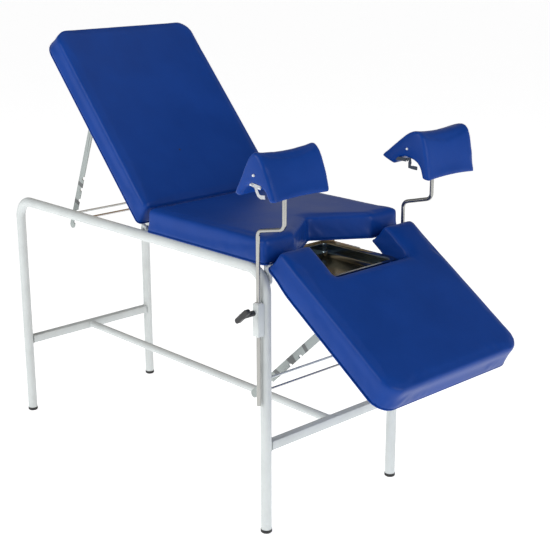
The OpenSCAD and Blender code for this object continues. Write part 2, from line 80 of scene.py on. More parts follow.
FRAME_X = mid("side_frame_near").x
LEG_X = 625
RAIL_Y = 270
TUBE_R = 16
CROSS_W = 26
BACK_RAKE = math.radians(48.2)
FOOT_PITCH = math.radians(35)
PAD_HALF = 275
UNDER_B = 8
TOP_B = 75
# where each section's padding starts and ends along it
SEAT_A = (100, 628)
BACK_A = (30.4, 716.4)
FOOT_A = (14.5, 529)
# the cut-outs: how far along the section each one's edge lies, and half its width
SEAT_CUT = (520, 158)
FOOT_CUT = (136, 150)
REST_HALF = 110
BACK_LEAN = math.radians(21.8)
FOOT_LEAN = math.radians(46.7)
# the joggles of each strut, along it from its pivot
BACK_JOGGLES = (215, 282)
FOOT_JOGGLES = (135, 201)

# ---- Camera ----

CAMERA_AT = Vector((2.633, -2.354, 1.670))
CAMERA_AIM = Vector((-0.5327, 0.4501, 0.432))
CAMERA_ROLL = math.radians(-0.65)

camera = bpy.data.objects.new("camera", bpy.data.cameras.new("camera"))
scene.collection.objects.link(camera)
scene.camera = camera
camera.data.sensor_width = 36
camera.data.lens = 76.55
camera.data.shift_x = 0.0727
ahead = (CAMERA_AIM - CAMERA_AT).normalized()
level = ahead.cross(Vector((0, 0, 1))).normalized()
upward = level.cross(ahead)
right = level * math.cos(CAMERA_ROLL) + upward * math.sin(CAMERA_ROLL)
top = upward * math.cos(CAMERA_ROLL) - level * math.sin(CAMERA_ROLL)
camera_turn = Matrix((right, top, -ahead)).transposed().to_4x4()
camera.matrix_world = Matrix.Translation(CAMERA_AT) @ camera_turn


# ---- Materials ----


class Surface:
    """A node material. Every texture reads object coordinates, so it moves with its body."""

    def __init__(self, name, **sockets):
        self.mat = bpy.data.materials.new(name)
        self.mat.use_nodes = True
        self.tree = self.mat.node_tree
        self.bsdf = self.tree.nodes["Principled BSDF"]
        self.place = self.node("TexCoord").outputs["Object"]
        for key, value in sockets.items():
            self.bsdf.inputs[key.replace("_", " ")].default_value = value

    def node(self, kind, props=None, **inputs):
        made = self.tree.nodes.new("ShaderNode" + kind)
        for key, value in (props or {}).items():
            setattr(made, key, value)
        for key, value in inputs.items():
            socket = made.inputs[int(key[1:]) if key[0] == "_" else key]
            if isinstance(value, bpy.types.NodeSocket):
                self.tree.links.new(value, socket)
            else:
                socket.default_value = value
        return made

    def stretched(self, size, turn=(0, 0, 0)):
        return self.node("Mapping", Vector=self.place, Scale=size, Rotation=turn).outputs[0]

    def noise(self, scale, detail=3, place=None, **more):
        return self.node("TexNoise", Vector=place or self.place, Scale=scale, Detail=detail,
                         **more).outputs[0]

    def cells(self, scale, feature="SMOOTH_F1"):
        return self.node("TexVoronoi", {"feature": feature}, Vector=self.place,
                         Scale=scale).outputs["Distance"]

    def span(self, value, low, high, start=0.3, end=0.7):
        """value, from start to end, spread over low to high."""
        limits = {"_1": start, "_2": end, "_3": low, "_4": high}
        return self.node("MapRange", Value=value, **limits).outputs[0]

    def mix(self, value, first, second):
        made = self.node("Mix", {"data_type": "RGBA"}, Factor=value)
        for socket, shade in zip((made.inputs[6], made.inputs[7]), (first, second)):
            if isinstance(shade, bpy.types.NodeSocket):
                self.tree.links.new(shade, socket)
            else:
                socket.default_value = (*shade, 1)
        return made.outputs[2]

    def bump(self, height, depth, strength=1.0, below=None):
        inputs = {"Height": height, "Distance": depth, "Strength": strength}
        if below:
            inputs["Normal"] = below
        return self.node("Bump", **inputs).outputs[0]

    def finish(self, colour=None, rough=None, normal=None):
        for key, value in (("Base Color", colour), ("Roughness", rough), ("Normal", normal)):
            if value:
                self.tree.links.new(value, self.bsdf.inputs[key])
        return self.mat


def vinyl_material():
    """Calendered upholstery vinyl: a fine pebbled grain over soft unevenness."""
    s = Surface("upholstery_vinyl", Specular_IOR_Level=0.16)
    pebbles = s.cells(560)
    pores = s.noise(1900, 2)
    patches = s.noise(7, 4)
    waves = s.noise(30, 2, Distortion=0.6)
    colour = s.mix(s.span(patches, 0, 1), (0.0036, 0.0420, 0.248), (0.0046, 0.0500, 0.292))
    # painted shade: the pits of the pebbled grain are darkened
    colour = s.mix(s.span(pebbles, 0.35, 0, 0.0, 0.12), colour, (0.003, 0.018, 0.13))
    normal = s.bump(waves, 0.0012, 0.22)
    normal = s.bump(pebbles, 0.00035, 0.28, normal)
    normal = s.bump(pores, 0.00012, 0.28, normal)
    return s.finish(colour, s.span(patches, 0.30, 0.38), normal)


def paint_material(name, shade, joggle_shade=()):
    """Satin off-white powder coat with its orange peel and a trace of handling. The last argument lists
    (place, way, distances): where along a strut its surface is joggled; a dark band of painted shade stands
    in for each bend."""
    s = Surface(name, Specular_IOR_Level=0.4)
    peel = s.noise(330, 2)
    specks = s.noise(1500, 1)
    grime = s.noise(16, 5)
    colour = s.mix(s.span(grime, 0, 1, 0.42, 0.75), shade, tuple(c * 0.91 for c in shade))
    colour = s.mix(s.span(specks, 0, 0.25, 0.62, 0.72), colour, tuple(c * 0.75 for c in shade))
    for place, way, distances in joggle_shade:
        start = s.node("VectorMath", {"operation": "SUBTRACT"}, _0=s.place, _1=tuple(place * MM))
        along = s.node("VectorMath", {"operation": "DOT_PRODUCT"}, _0=start.outputs[0],
                       _1=tuple(way)).outputs["Value"]
        for distance in distances:
            off = s.node("Math", {"operation": "SUBTRACT"}, _0=along, _1=distance * MM).outputs[0]
            off = s.node("Math", {"operation": "ABSOLUTE"}, _0=off).outputs[0]
            # painted shade: a dark band across the strut where it bends at a joggle
            colour = s.mix(s.span(off, 1, 0, 0.006, 0.009), colour, (0.13, 0.14, 0.14))
    normal = s.bump(peel, 0.00022, 0.45)
    return s.finish(colour, s.span(grime, 0.32, 0.44), normal)


def steel_material(name, turn, shade=(0.60, 0.60, 0.59), rough=(0.16, 0.27)):
    """Stainless steel with drawn lines along the given local axis."""
    s = Surface(name, Metallic=1.0, Anisotropic=0.35)
    lines = s.noise(1.0, 3, s.stretched(tuple(14 if k == turn else 900 for k in range(3))))
    clouds = s.noise(9, 4)
    colour = s.mix(s.span(clouds, 0, 1), shade, tuple(c * 0.86 for c in shade))
    colour = s.mix(s.span(lines, 0, 0.22), colour, tuple(c * 0.6 for c in shade))
    normal = s.bump(lines, 0.00004, 0.35)
    return s.finish(colour, s.span(lines, *rough), normal)


def zinc_material():
    """Bright zinc plate: faint crystal patches and dulled high spots."""
    s = Surface("zinc_plate", Metallic=1.0)
    crystals = s.cells(150, "F1")
    clouds = s.noise(34, 4)
    colour = s.mix(s.span(crystals, 0, 1, 0, 0.6), (0.62, 0.64, 0.67), (0.50, 0.52, 0.55))
    colour = s.mix(s.span(clouds, 0, 0.5, 0.5, 0.8), colour, (0.40, 0.40, 0.40))
    normal = s.bump(s.noise(420, 2), 0.00010, 0.35)
    return s.finish(colour, s.span(clouds, 0.22, 0.42), normal)


def plastic_material(name, shade, rough, grain=900):
    s = Surface(name, Specular_IOR_Level=0.45)
    spark = s.noise(grain, 2)
    dust = s.noise(24, 4)
    colour = s.mix(s.span(dust, 0, 1), shade, tuple(min(1, c * 1.7 + 0.006) for c in shade))
    normal = s.bump(spark, 0.00016, 0.5)
    return s.finish(colour, s.span(dust, rough - 0.07, rough + 0.07), normal)


def plywood_material(name, pitch):
    """Birch plywood: long grain along the section and a few darker streaks."""
    s = Surface(name, Specular_IOR_Level=0.35)
    grain = s.noise(1.0, 5, s.stretched((7, 130, 130), (0, pitch, 0)), Distortion=0.4)
    pores = s.noise(1.0, 2, s.stretched((60, 1300, 1300), (0, pitch, 0)))
    colour = s.mix(s.span(grain, 0, 1, 0.3, 0.72), (0.56, 0.37, 0.20), (0.36, 0.21, 0.10))
    colour = s.mix(s.span(pores, 0, 0.4, 0.56, 0.75), colour, (0.18, 0.10, 0.05))
    return s.finish(colour, s.span(grain, 0.55, 0.75), s.bump(pores, 0.00018, 0.5))


def floor_material():
    s = Surface("studio_floor", Roughness=0.7, Specular_IOR_Level=0.1, Emission_Color=(1, 1, 1, 1),
                Emission_Strength=0.78)
    tone = s.noise(0.7, 2)
    return s.finish(s.mix(s.span(tone, 0, 1), (0.90, 0.90, 0.905), (0.885, 0.885, 0.89)))


VINYL = vinyl_material()
PAINT = paint_material("powder_coat", (0.665, 0.705, 0.700))
# painted shade: the struts take a darker copy of the frame's off-white paint for the shade they stand in
# under the seat, with bands of painted shade at their joggles
STRUT_PAINT_SHADED = paint_material("powder_coat_struts_painted_shade", (0.36, 0.40, 0.39), (
    (joint_at("backrest_strut_swing"), down_strut(BACK_LEAN), BACK_JOGGLES),
    (joint_at("foot_strut_swing"), down_strut(FOOT_LEAN), FOOT_JOGGLES)))
STEEL_X = steel_material("stainless_drawn_x", 0)
STEEL_Y = steel_material("stainless_drawn_y", 1)
ROD_STEEL = steel_material("stainless_rod", 2, (0.42, 0.42, 0.40), (0.16, 0.26))
# painted shade: the tray's stainless is given a dark blue-grey colour for the shade and dark reflections it
# shows under the seat
TRAY_STEEL_SHADED = steel_material("stainless_sheet_painted_shade", 0, (0.28, 0.345, 0.375), (0.14, 0.22))
ZINC = zinc_material()
RIVET = paint_material("bright_rivet", (0.80, 0.82, 0.84))
PLASTIC = plastic_material("black_nylon", (0.012, 0.013, 0.014), 0.42)
NYLON = plastic_material("white_nylon", (0.60, 0.63, 0.63), 0.42)
# painted shade: near-black for the far rest's steel hook and strap, which stand in shade
FAR_HOOK_SHADE = plastic_material("far_hook_painted_shade", (0.03, 0.04, 0.06), 0.5)
RUBBER = plastic_material("black_rubber", (0.018, 0.018, 0.018), 0.68, 500)
PLY_FLAT = plywood_material("plywood_seat", 0.0)
PLY_BACK = plywood_material("plywood_back", BACK_RAKE)
PLY_FOOT = plywood_material("plywood_foot", FOOT_PITCH)


# ---- Mesh helpers ----


def ring_faces(base, n, rows, closed=False):
    last = rows if closed else rows - 1
    for i in range(last):
        j = (i + 1) % rows
        for k in range(n):
            m = (k + 1) % n
            yield (base + i * n + k, base + i * n + m, base + j * n + m, base + j * n + k)


def closed_mesh(name, verts, faces):
    """A mesh in metres, its normals outwards, from closed shapes in millimetres."""
    mesh = bpy.data.meshes.new(name)
    mesh.from_pydata([tuple(c * MM for c in v) for v in verts], [], faces)
    work = bmesh.new()
    work.from_mesh(mesh)
    bmesh.ops.recalc_face_normals(work, faces=work.faces)
    work.to_mesh(mesh)
    work.free()
    return mesh


class Parts:
    """Collects closed shapes, in millimetres in the row frame, for one mesh."""

    def __init__(self):
        self.verts, self.faces = [], []

    def loft(self, rings, closed=False):
        base, n = len(self.verts), len(rings[0])
        for ring in rings:
            self.verts.extend(tuple(p) for p in ring)
        self.faces.extend(ring_faces(base, n, len(rings), closed))
        if not closed:
            last = base + (len(rings) - 1) * n
            self.faces.append(tuple(base + k for k in range(n - 1, -1, -1)))
            self.faces.append(tuple(last + k for k in range(n)))

    def lathe(self, place, profile, sides=28):
        """profile lists (radius, height) along the local Z of the matrix place."""
        turns = [math.tau * k / sides for k in range(sides)]
        self.loft([[place @ Vector((r * math.cos(t), r * math.sin(t), h)) for t in turns]
                   for r, h in profile])

    def tube(self, path, radius, sides=10, closed=False):
        """radius is a number or a function of the step."""
        path = [Vector(p) for p in path]
        count, rings, side = len(path), [], None
        for i, p in enumerate(path):
            if closed:
                way = path[(i + 1) % count] - path[i - 1]
            else:
                way = path[min(i + 1, count - 1)] - path[max(i - 1, 0)]
            way.normalize()
            if side is None:
                side = way.orthogonal().normalized()
            side = (side - way * side.dot(way)).normalized()
            other = way.cross(side)
            r = radius(i) if callable(radius) else radius
            rings.append([p + r * (math.cos(t) * side + math.sin(t) * other)
                          for t in (math.tau * k / sides for k in range(sides))])
        self.loft(rings, closed)

    def block(self, place, size, edge=0.4):
        """A box with small chamfers, centred on the matrix place."""
        x, y, z = (c / 2 for c in size)
        e = min(edge, x * 0.6, y * 0.6, z * 0.6)

        def ring(cx, cy, h):
            flat = [(cx - e, cy), (cx, cy - e), (cx, e - cy), (cx - e, -cy),
                    (e - cx, -cy), (-cx, e - cy), (-cx, cy - e), (e - cx, cy)]
            return [place @ Vector((u, v, h)) for u, v in flat]
        self.loft([ring(x - e, y - e, -z), ring(x, y, e - z),
                   ring(x, y, z - e), ring(x - e, y - e, z)])

    def piece(self, name, material, body, replaces=(), smooth=35):
        obj = bpy.data.objects.new(name, closed_mesh(name, self.verts, self.faces))
        scene.collection.objects.link(obj)
        return settle(obj, material, body, replaces, smooth)


def settle(obj, material, body, replaces=(), smooth=35):
    """Shades a finished piece, gives it its material and puts it on its body."""
    obj.data.materials.clear()
    obj.data.materials.append(material)
    obj.data.polygons.foreach_set("use_smooth", [True] * len(obj.data.polygons))
    if smooth < 180:
        obj.data.set_sharp_from_angle(angle=math.radians(smooth))
    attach(obj, body)
    if replaces:
        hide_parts(*replaces)
    return obj


def frame_to(place, axis):
    """A matrix at place whose local Z is axis."""
    turn = Vector((0, 0, 1)).rotation_difference(Vector(axis)).to_matrix().to_4x4()
    return Matrix.Translation(Vector(place)) @ turn


def dress(material, *nodes, bevel=0.0):
    """Gives CAD nodes a material, softened edges and clean shading. Their vertices stay put."""
    for name in nodes:
        obj = NODES[name]
        obj.material_slots[0].material = material
        for attribute in ("custom_normal", "sharp_edge", "sharp_face"):
            if attribute in obj.data.attributes:
                obj.data.attributes.remove(obj.data.attributes[attribute])
        obj.data.polygons.foreach_set("use_smooth", [True] * len(obj.data.polygons))
        weld = obj.modifiers.new("weld", "WELD")
        weld.merge_threshold = 2e-5
        if bevel:
            round_off = obj.modifiers.new("bevel", "BEVEL")
            round_off.width = bevel * MM
            round_off.segments = 2
            round_off.limit_method = "ANGLE"
            round_off.angle_limit = math.radians(50)
            round_off.use_clamp_overlap = True
        split = obj.modifiers.new("edges", "EDGE_SPLIT")
        split.split_angle = math.radians(32)


# ---- Section coordinates ----


def section_matrix(origin, along, up):
    """Local a, y, b to the row frame. The middle axis keeps the system right-handed."""
    a, b = Vector(along), Vector(up)
    turn = Matrix((a, b.cross(a), b)).transposed().to_4x4()
    return Matrix.Translation(Vector(origin)) @ turn


SEAT = section_matrix((FRAME_X, 0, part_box("seat_board")[0].z / MM - UNDER_B), (1, 0, 0), (0, 0, 1))
BACK = section_matrix(joint_at("backrest_tilt"), (-math.cos(BACK_RAKE), 0, math.sin(BACK_RAKE)),
                      (math.sin(BACK_RAKE), 0, math.cos(BACK_RAKE)))
FOOT = section_matrix(joint_at("foot_section_tilt"), (math.cos(FOOT_PITCH), 0, -math.sin(FOOT_PITCH)),
                      (math.sin(FOOT_PITCH), 0, math.cos(FOOT_PITCH)))

ARC_STEPS = 8


def outline(corners, inset=0.0, pitch=12.0):
    """A closed outline with filleted corners, moved inwards by inset. corners lists (x, y, radius)
    counter-clockwise. The number of points doesn't depend on inset, so outlines can be lofted."""
    n = len(corners)
    points = [Vector(c[:2]) for c in corners]
    ways = [(points[(i + 1) % n] - points[i]).normalized() for i in range(n)]
    lengths = [(points[(i + 1) % n] - points[i]).length for i in range(n)]
    inward = [Vector((-w.y, w.x)) for w in ways]
    moved = []
    for i in range(n):
        before, after = inward[i - 1], inward[i]
        moved.append(points[i] + inset * (before + after) / (1 + before.dot(after)))
    ends = []
    for i in range(n):
        w0, w1, p = ways[i - 1], ways[i], moved[i]
        turn = math.atan2(w0.x * w1.y - w0.y * w1.x, w0.dot(w1))
        r = max(corners[i][2] - math.copysign(inset, turn), 0.6)
        reach = r * math.tan(abs(turn) / 2)
        start, finish = p - w0 * reach, p + w1 * reach
        centre = start + Vector((-w0.y, w0.x)) * math.copysign(r, turn)
        arc = []
        for k in range(ARC_STEPS + 1):
            angle = turn * k / ARC_STEPS
            spoke = start - centre
            arc.append(centre + Vector((spoke.x * math.cos(angle) - spoke.y * math.sin(angle),
                                        spoke.x * math.sin(angle) + spoke.y * math.cos(angle))))
        ends.append((arc, finish))
    loop = []
    for i in range(n):
        arc, finish = ends[i]
        loop.extend(arc)
        following = ends[(i + 1) % n][0][0]
        steps = max(2, round(lengths[i] / pitch))
        loop.extend(finish.lerp(following, k / steps) for k in range(1, steps))
    return loop


# the padding stands a little proud of its board on the far side
FAR_HALF = PAD_HALF + 8
SEAT_CORNERS = [
    (SEAT_A[0], -PAD_HALF, 14), (SEAT_A[1], -PAD_HALF, 16), (SEAT_A[1], -SEAT_CUT[1], 5),
    (SEAT_CUT[0], 0, 12), (SEAT_A[1], SEAT_CUT[1], 5), (SEAT_A[1], FAR_HALF, 16),
    (SEAT_A[0], FAR_HALF, 14)]
BACK_CORNERS = [
    (BACK_A[0], -FAR_HALF, 18), (BACK_A[1], -FAR_HALF, 55), (BACK_A[1], PAD_HALF, 55),
    (BACK_A[0], PAD_HALF, 18)]
FOOT_CORNERS = [
    (FOOT_A[0], -PAD_HALF, 18), (FOOT_A[1], -PAD_HALF, 55), (FOOT_A[1], FAR_HALF, 55),
    (FOOT_A[0], FAR_HALF, 18), (FOOT_A[0], FOOT_CUT[1], 7), (FOOT_CUT[0], FOOT_CUT[1], 8),
    (FOOT_CUT[0], -FOOT_CUT[1], 8), (FOOT_A[0], -FOOT_CUT[1], 7)]


# ---- Upholstery ----

SWELL = 4.0
VOXEL = 6.0
CROWN = 1.5
# the vinyl is held below the first height and free above the second
STAPLED_B = (12, 22)
# the crown rises between these heights
CROWN_B = (58, 68)
BACK_WEDGE = 15
WEDGE_REACH = 60
GATHER_DEPTH = 0.63
HEM_B = 7.1
FOOT_HEM_B = -1.0
# the hem's width under the board, the spacing of its points, and its staples
HEM_WIDTH = 31
HEM_PITCH = 9
STAPLE_INSET = 20
STAPLE_PITCH = 42
STAPLE_B = 6.5


def evaluated_mesh(obj):
    graph = bpy.context.evaluated_depsgraph_get()
    return bpy.data.meshes.new_from_object(obj.evaluated_get(graph))


def remeshed(name, verts, faces, voxel):
    """A new object in metres, voxel-remeshed from a closed shape in millimetres."""
    rough = bpy.data.objects.new(name + "_rough", closed_mesh(name, verts, faces))
    scene.collection.objects.link(rough)
    mod = rough.modifiers.new("voxels", "REMESH")
    mod.mode = "VOXEL"
    mod.voxel_size = voxel * MM
    obj = bpy.data.objects.new(name, evaluated_mesh(rough))
    obj.data.name = name
    bpy.data.objects.remove(rough)
    scene.collection.objects.link(obj)
    return obj


def coords(mesh):
    co = np.empty(len(mesh.vertices) * 3)
    mesh.vertices.foreach_get("co", co)
    return co.reshape(-1, 3)


def set_coords(mesh, co):
    mesh.vertices.foreach_set("co", np.ascontiguousarray(co, dtype=np.float32).ravel())
    mesh.update()


def normals(mesh):
    no = np.empty(len(mesh.vertices) * 3)
    mesh.vertices.foreach_get("normal", no)
    return no.reshape(-1, 3)


def smoothed(mesh, co, rounds, held):
    """Laplacian smoothing of the points whose held weight is 0."""
    edges = np.empty(len(mesh.edges) * 2, dtype=np.int64)
    mesh.edges.foreach_get("vertices", edges)
    a, b = edges.reshape(-1, 2).T
    count = np.bincount(a, minlength=len(co)) + np.bincount(b, minlength=len(co))
    for _ in range(rounds):
        total = np.zeros_like(co)
        np.add.at(total, a, co[b])
        np.add.at(total, b, co[a])
        co = co + 0.5 * (1 - held)[:, None] * (total / count[:, None] - co)
    return co


def swell(obj, held, cap, frames=20):
    """Inflates a pad with Blender's cloth and keeps each point within cap of where it started.
    held is 1 where the vinyl is stapled down and 0 where it is free."""
    rest = coords(obj.data)
    facing = normals(obj.data)
    group = obj.vertex_groups.new(name="stapled")
    group.add([int(i) for i in np.nonzero(held > 0.5)[0]], 1.0, "REPLACE")
    mod = obj.modifiers.new("cloth", "CLOTH")
    cloth = mod.settings
    cloth.quality = 4
    cloth.mass = 0.4
    cloth.tension_stiffness = cloth.compression_stiffness = 12
    cloth.shear_stiffness = 6
    cloth.bending_stiffness = 0.8
    cloth.shrink_min = -0.012
    cloth.use_pressure = True
    cloth.uniform_pressure_force = 4
    cloth.effector_weights.gravity = 0
    cloth.vertex_group_mass = "stapled"
    mod.point_cache.frame_start, mod.point_cache.frame_end = 1, frames
    for number in range(1, frames + 1):
        scene.frame_set(number)
    blown = evaluated_mesh(obj)
    moved = coords(blown)
    bpy.data.meshes.remove(blown)
    obj.modifiers.remove(mod)
    obj.vertex_groups.clear()
    scene.frame_set(1)
    shift = moved - rest
    # foam behind the vinyl stops it from moving inwards
    outward = (shift * facing).sum(axis=1, keepdims=True)
    shift += facing * (np.maximum(outward, -0.4 * MM) - outward)
    size = np.linalg.norm(shift, axis=1, keepdims=True) + 1e-12
    shift *= cap * MM * np.tanh(size / (cap * MM)) / size
    set_coords(obj.data, smoothed(obj.data, rest + shift, 3, held))


def step(value, low, high):
    t = np.clip((value - low) / (high - low), 0, 1)
    return t * t * (3 - 2 * t)


PAD_PROFILE = [(5.0, 8.6), (0.6, 8.8), (0, 11), (0, 18), (0, 34), (0, 50), (0, 62), (0.3, 68), (1.6, 72.6),
               (4.5, 74.6), (9, 75.2), (15, 75.4)]


def gather(co, corners, middle):
    """Short gathers where the vinyl is pulled round a pad's outer corners."""
    for x, y, r in corners:
        if r < 14 or abs(y) < PAD_HALF:
            continue
        sx, sy = math.copysign(1, middle - x), math.copysign(1, -y)
        da, dy = co[:, 0] - (x + sx * r), co[:, 1] - (y + sy * r)
        turn = np.arctan2(dy * sy, da * sx) + math.pi * 0.75
        out = np.hypot(da, dy)
        near = np.clip(1 - np.abs(turn) / 0.95, 0, 1) * (out < r * 1.2 + 8) * (out > r * 0.4)
        fold = near * np.cos(turn * (7 if r < 30 else 12)) * (1 - step(co[:, 2], 16, 42))
        co[:, 0] -= sx * GATHER_DEPTH * fold
        co[:, 1] -= sy * GATHER_DEPTH * fold


def finish_pad(obj, co, place):
    """Moves a pad from its own millimetres to the row frame in metres, and smooths it."""
    set_coords(obj.data, co * MM)
    obj.data.transform(Matrix.Scale(MM, 4) @ place @ Matrix.Scale(1 / MM, 4))
    smooth = obj.modifiers.new("smooth", "SUBSURF")
    smooth.levels = smooth.render_levels = 1


def pad(name, corners, place, body, node, low_b, high_b, wedge=0.0):
    """A section's upholstery: a foam slab wrapped in vinyl, from low_b, by the board's edge, to
    high_b. wedge is how far its hinge end runs out at the bottom."""
    shape = Parts()
    room = [SWELL * min(1, max(0, (b - STAPLED_B[1]) / 10)) for _, b in PAD_PROFILE]
    shape.loft([[(p.x, p.y, b) for p in outline(corners, space + inset)]
                for space, (inset, b) in zip(room, PAD_PROFILE)])
    obj = remeshed(name, shape.verts, shape.faces, VOXEL)
    held = 1 - step(coords(obj.data)[:, 2] / MM, *STAPLED_B)
    swell(obj, held, SWELL + 1)
    co = coords(obj.data) / MM
    a0, a1 = min(c[0] for c in corners), max(c[0] for c in corners)
    y0, y1 = min(c[1] for c in corners), max(c[1] for c in corners)
    # the cloth settles a little short of the board's outline, so the pad is drawn out to it
    for axis, low, high in ((0, a0, a1), (1, y0, y1), (2, HEM_B + 1.5, high_b - CROWN)):
        start, finish = co[:, axis].min(), co[:, axis].max()
        co[:, axis] = low + (co[:, axis] - start) * (high - low) / (finish - start)
    co[:, 2] -= lowered(a0, low_b, co[:, 0]) * (1 - step(co[:, 2], UNDER_B, 40))
    u = (2 * co[:, 0] - a0 - a1) / (a1 - a0)
    v = (2 * co[:, 1] - y0 - y1) / (y1 - y0)
    dome = np.clip(1 - u ** 2, 0, 1) ** 0.7 * np.clip(1 - v ** 2, 0, 1) ** 0.7
    co[:, 2] += CROWN * dome * step(co[:, 2], *CROWN_B)
    depth = np.clip(1 - (co[:, 2] - UNDER_B) / (TOP_B - UNDER_B), 0, 1)
    co[:, 0] -= wedge * depth * (1 - step(co[:, 0], a0, a0 + WEDGE_REACH))
    gather(co, corners, (a0 + a1) / 2)
    finish_pad(obj, co, place)
    settle(obj, VINYL, body, (node,), 180)


def lowered(a0, low_b, a):
    """How far the padding hangs below the board's edge: not at all near the hinge, which needs
    the room."""
    return (HEM_B - low_b) * step(a, a0 + 30, a0 + 110)


def hem(name, corners, place, body, low_b):
    """The vinyl's turned-under edge on the board's underside, with its row of staples."""
    a0 = min(c[0] for c in corners)
    turned = Parts()
    section = [(2.0, 11.7, 1), (-0.1, 10.9, 1), (-0.3, 9, 1), (0.5, 7.6, 1), (2.5, HEM_B, 1), (7, HEM_B, 1),
               (12, HEM_B, 0.5), (16, HEM_B, 0), (29, HEM_B, 0), (HEM_WIDTH, 7.4, 0),
               (HEM_WIDTH, 8.6, 0)]
    rings = []
    for inset, b, hang in section:
        ring = []
        for k, p in enumerate(outline(corners, inset, HEM_PITCH)):
            ripple = 0.35 * math.sin(k * 1.7) + 0.2 * math.sin(k * 0.61)
            far_in = max(0, inset) / HEM_WIDTH
            ring.append(place @ Vector((p.x, p.y, b - (ripple + 0.3) * far_in * (b < 8) -
                                        hang * lowered(a0, low_b, p.x))))
        rings.append(ring)
    turned.loft(rings, closed=True)
    turned.piece(name + "_hem", VINYL, body)
    staples = Parts()
    row = outline(corners, STAPLE_INSET, HEM_PITCH)
    rng = random.Random(len(row))
    travelled = 0.0
    for k, p in enumerate(row):
        following = row[(k + 1) % len(row)]
        travelled += (following - p).length
        if travelled < STAPLE_PITCH:
            continue
        travelled = 0.0
        way = (following - p).normalized()
        lean = rng.uniform(-0.2, 0.2)
        spin = Matrix.Rotation(math.atan2(way.y, way.x) + lean, 4, "Z")
        at = place @ Matrix.Translation((p.x, p.y, STAPLE_B)) @ spin
        staples.block(at, (11, 1.2, 0.8), 0.3)
    staples.piece(name + "_staples", ZINC, body)


pad("seat_cushion", SEAT_CORNERS, SEAT, "frame", "seat_pad", HEM_B, TOP_B + 9)
pad("back_cushion", BACK_CORNERS, BACK, "backrest", "back_pad", HEM_B, TOP_B + 6, BACK_WEDGE)
pad("foot_cushion", FOOT_CORNERS, FOOT, "foot_section", "foot_pad", FOOT_HEM_B, TOP_B + 8)
wedge_corners = [(a - BACK_WEDGE if a == BACK_A[0] else a, y, r) for a, y, r in BACK_CORNERS]
hem("seat", SEAT_CORNERS, SEAT, "frame", HEM_B)
hem("back", wedge_corners, BACK, "backrest", HEM_B)
hem("foot", FOOT_CORNERS, FOOT, "foot_section", FOOT_HEM_B)

VENT_AT = (210, 41, TOP_B + 5.4)
VENT_PROFILE = [(0.6, -3), (3.2, -3), (3.4, 0.4), (2.8, 1.2), (1.6, 1.3), (1.2, 0.2), (0.6, 0.1)]
vent = Parts()
vent.lathe(BACK @ Matrix.Translation(VENT_AT), VENT_PROFILE, 20)
vent.piece("back_vent", PLASTIC, "backrest")


# ---- Leg rests ----

REST_OUT = (122, 0.28)
REST_HALF_WIDTH = {"near": (76, 74), "far": (107, 80)}
REST_SLANT = {"near": 13, "far": 2}
REST_OUT_W = 110
REST_IN = (54, 41, 3.2)
REST_IN_W = 21.3
REST_DIP = 9
REST_ROUND = 7
REST_TILT = {"near": math.radians(1), "far": math.radians(17)}


def offset_curve(points, inset):
    """An open curve moved to its left by inset."""
    moved = []
    for k, p in enumerate(points):
        way = (points[min(k + 1, len(points) - 1)] - points[max(k - 1, 0)]).normalized()
        moved.append(p + inset * Vector((-way.y, way.x)))
    return moved


def rest_section(widths, inset, dip):
    """One closed ring of a leg rest's section: over the crown from -u to +u and back under the arch."""
    drop, soft = REST_OUT
    full = math.sqrt(1 + soft) - math.sqrt(soft)
    outer, arch = [], []
    for k in range(-20, 21):
        t = k / 20
        w = REST_OUT_W - 2 - drop * (math.sqrt(t * t + soft) - math.sqrt(soft)) / full
        u = widths[t > 0] * t * (1 - 0.003 * dip * (1 - t * t))
        outer.append(Vector((u, w - dip * (1 - abs(t)) ** 0.5)))
    for k in range(16, -17, -1):
        t = k / 16
        arch.append(Vector((REST_IN[0] * t, REST_IN_W - REST_IN[1] * abs(t) ** REST_IN[2])))
    outer = offset_curve(outer, -inset)
    arch = offset_curve(arch, -inset * 0.5)
    raised = [Vector((p.x, p.y + 0.7 * inset * max(0, 1 - abs(p.y - low) / 14)))
              for curve, low in ((outer, outer[0].y), (arch, arch[0].y)) for p in curve]
    return raised


def rest_matrix(side):
    return Matrix.Translation(joint_at(f"{side}_rest_tilt")) @ Matrix.Rotation(REST_TILT[side], 4, "Y")


def rest_pad(side):
    shape = Parts()
    end = REST_HALF - 2
    rounding = [math.pi / 2 * k / 6 for k in range(7)]
    stations = [(-end + REST_ROUND * (1 - math.cos(a)), REST_ROUND * (1 - math.sin(a))) for a in rounding]
    stations += [(y, 0.0) for y in (-74, -56, -37, -18, 0, 18, 37, 56, 74)]
    stations += [(-y, inset) for y, inset in reversed(stations[:7])]
    shape.loft([[(p.x, y, p.y) for p in
                 rest_section(REST_HALF_WIDTH[side], inset + 1.5, REST_DIP * (1 - (y / REST_HALF) ** 2))]
                for y, inset in stations])
    obj = remeshed(f"leg_rest_{side}", shape.verts, shape.faces, 4.5)
    swell(obj, np.zeros(len(obj.data.vertices)), 2.5)
    co = coords(obj.data) / MM
    depth = np.clip((REST_OUT_W - co[:, 2]) / REST_OUT[0], 0, 1)
    co[:, 1] -= REST_SLANT[side] * depth ** 3 * step(co[:, 1], 0, REST_HALF)
    co[:, 2] += 5 * np.clip(1 - (co[:, 1] / REST_HALF) ** 2, 0, 1) * step(depth, 0.7, 1.0)
    finish_pad(obj, co, rest_matrix(side))
    settle(obj, VINYL, f"{side}_leg_rest",
           (f"rest_pad_{side}", f"rest_shell_{side}"), 180)


STRAP_W = 10
STRAP_T = 3
# for each rest's near end: the rivet, the hook's path and the cross strap's ends
HOOKS = {
    "near": ((1, 47), [(1, 22), (8, 6), (14, -3), (22, -6), (38, -4)], [(-8, 22), (24, 18)]),
    "far": ((-20, 45), [(-16, 12), (-6, 20), (-2, 8), (0, -3), (12, 0), (27, 4)],
            [(-60, 0), (-16, 12)]),
}


